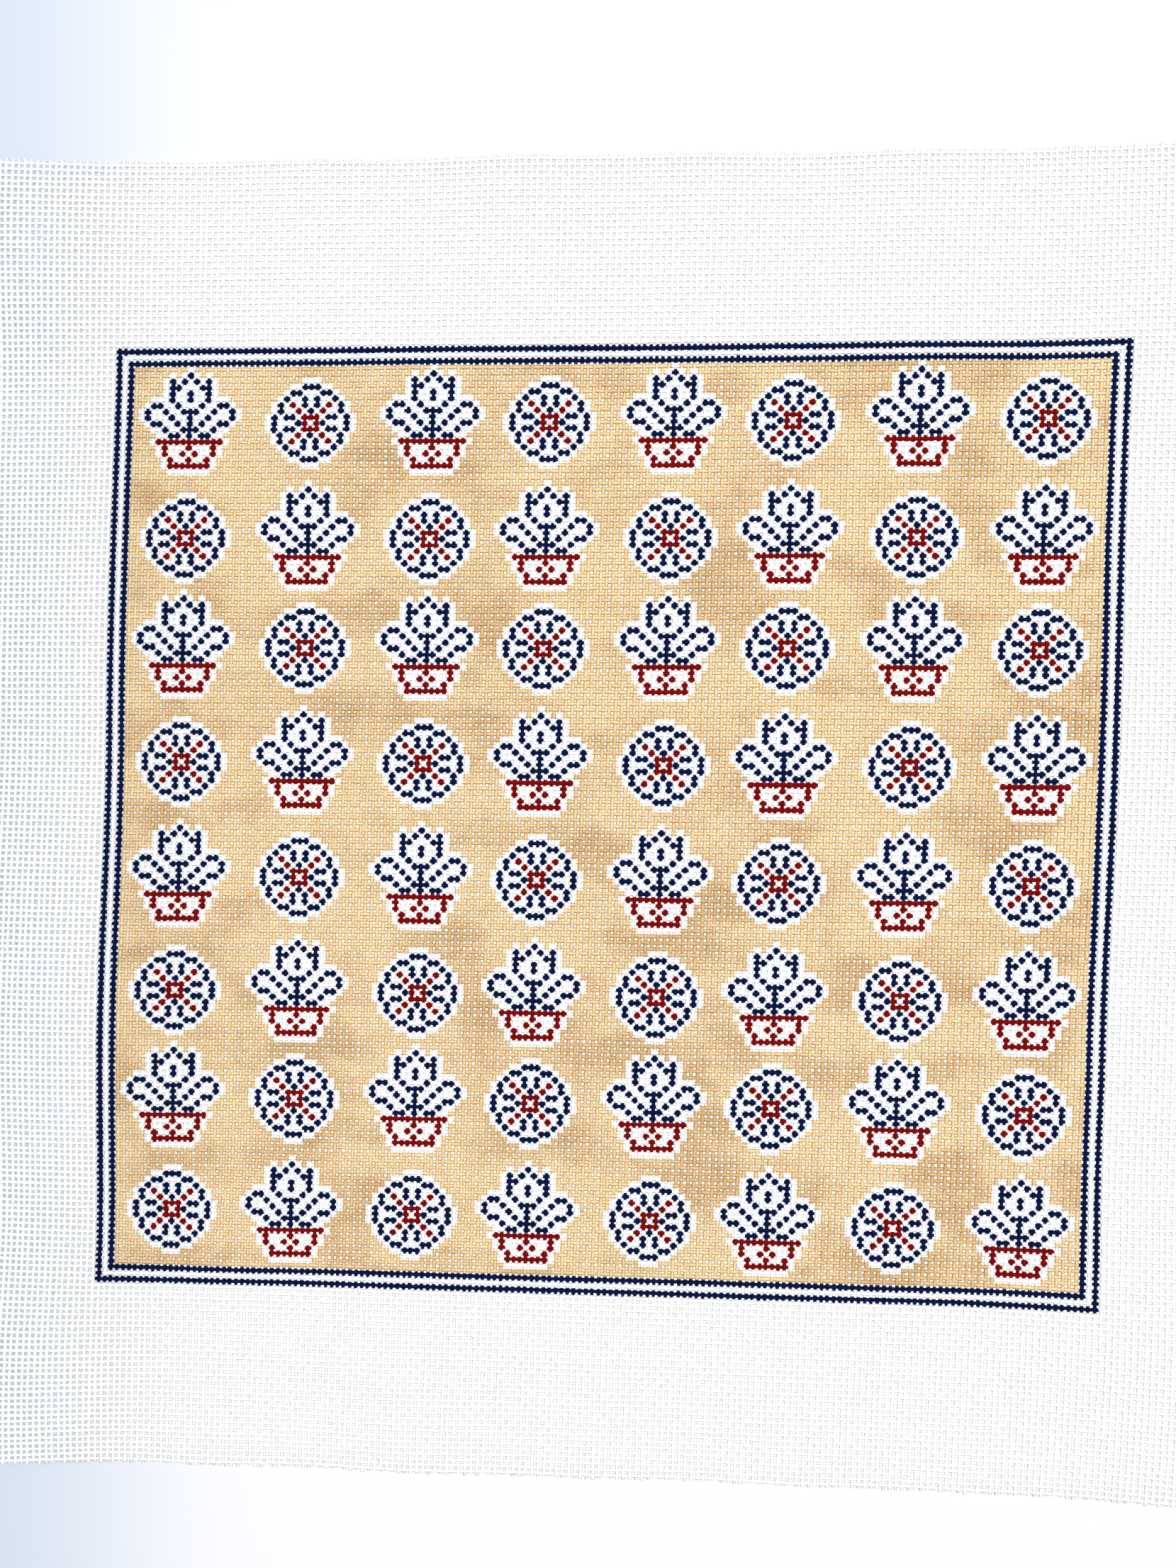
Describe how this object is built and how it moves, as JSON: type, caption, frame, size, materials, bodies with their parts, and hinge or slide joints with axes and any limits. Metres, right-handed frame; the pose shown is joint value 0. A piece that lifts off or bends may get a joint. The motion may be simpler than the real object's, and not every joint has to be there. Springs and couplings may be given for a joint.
{
  "type": "needlepoint canvas",
  "caption": "piece of open mono needlepoint canvas with raw cut edges, hand painted with a navy line border round small repeating flowers on tan, lying loosely flat",
  "frame": {"origin": "the middle of the outline's box, on the surface that the cloth lies on", "axes": "+X runs across the painted panel to its right, +Y up the panel, +Z out of its painted face"},
  "size_m": [0.4486, 0.4204, 0.006],
  "materials": {
    "canvas": "matte sized cotton, open plain weave, painted in its middle"
  },
  "bodies": {
    "root": {"canvas": "canvas"}
  },
  "joints": []
}
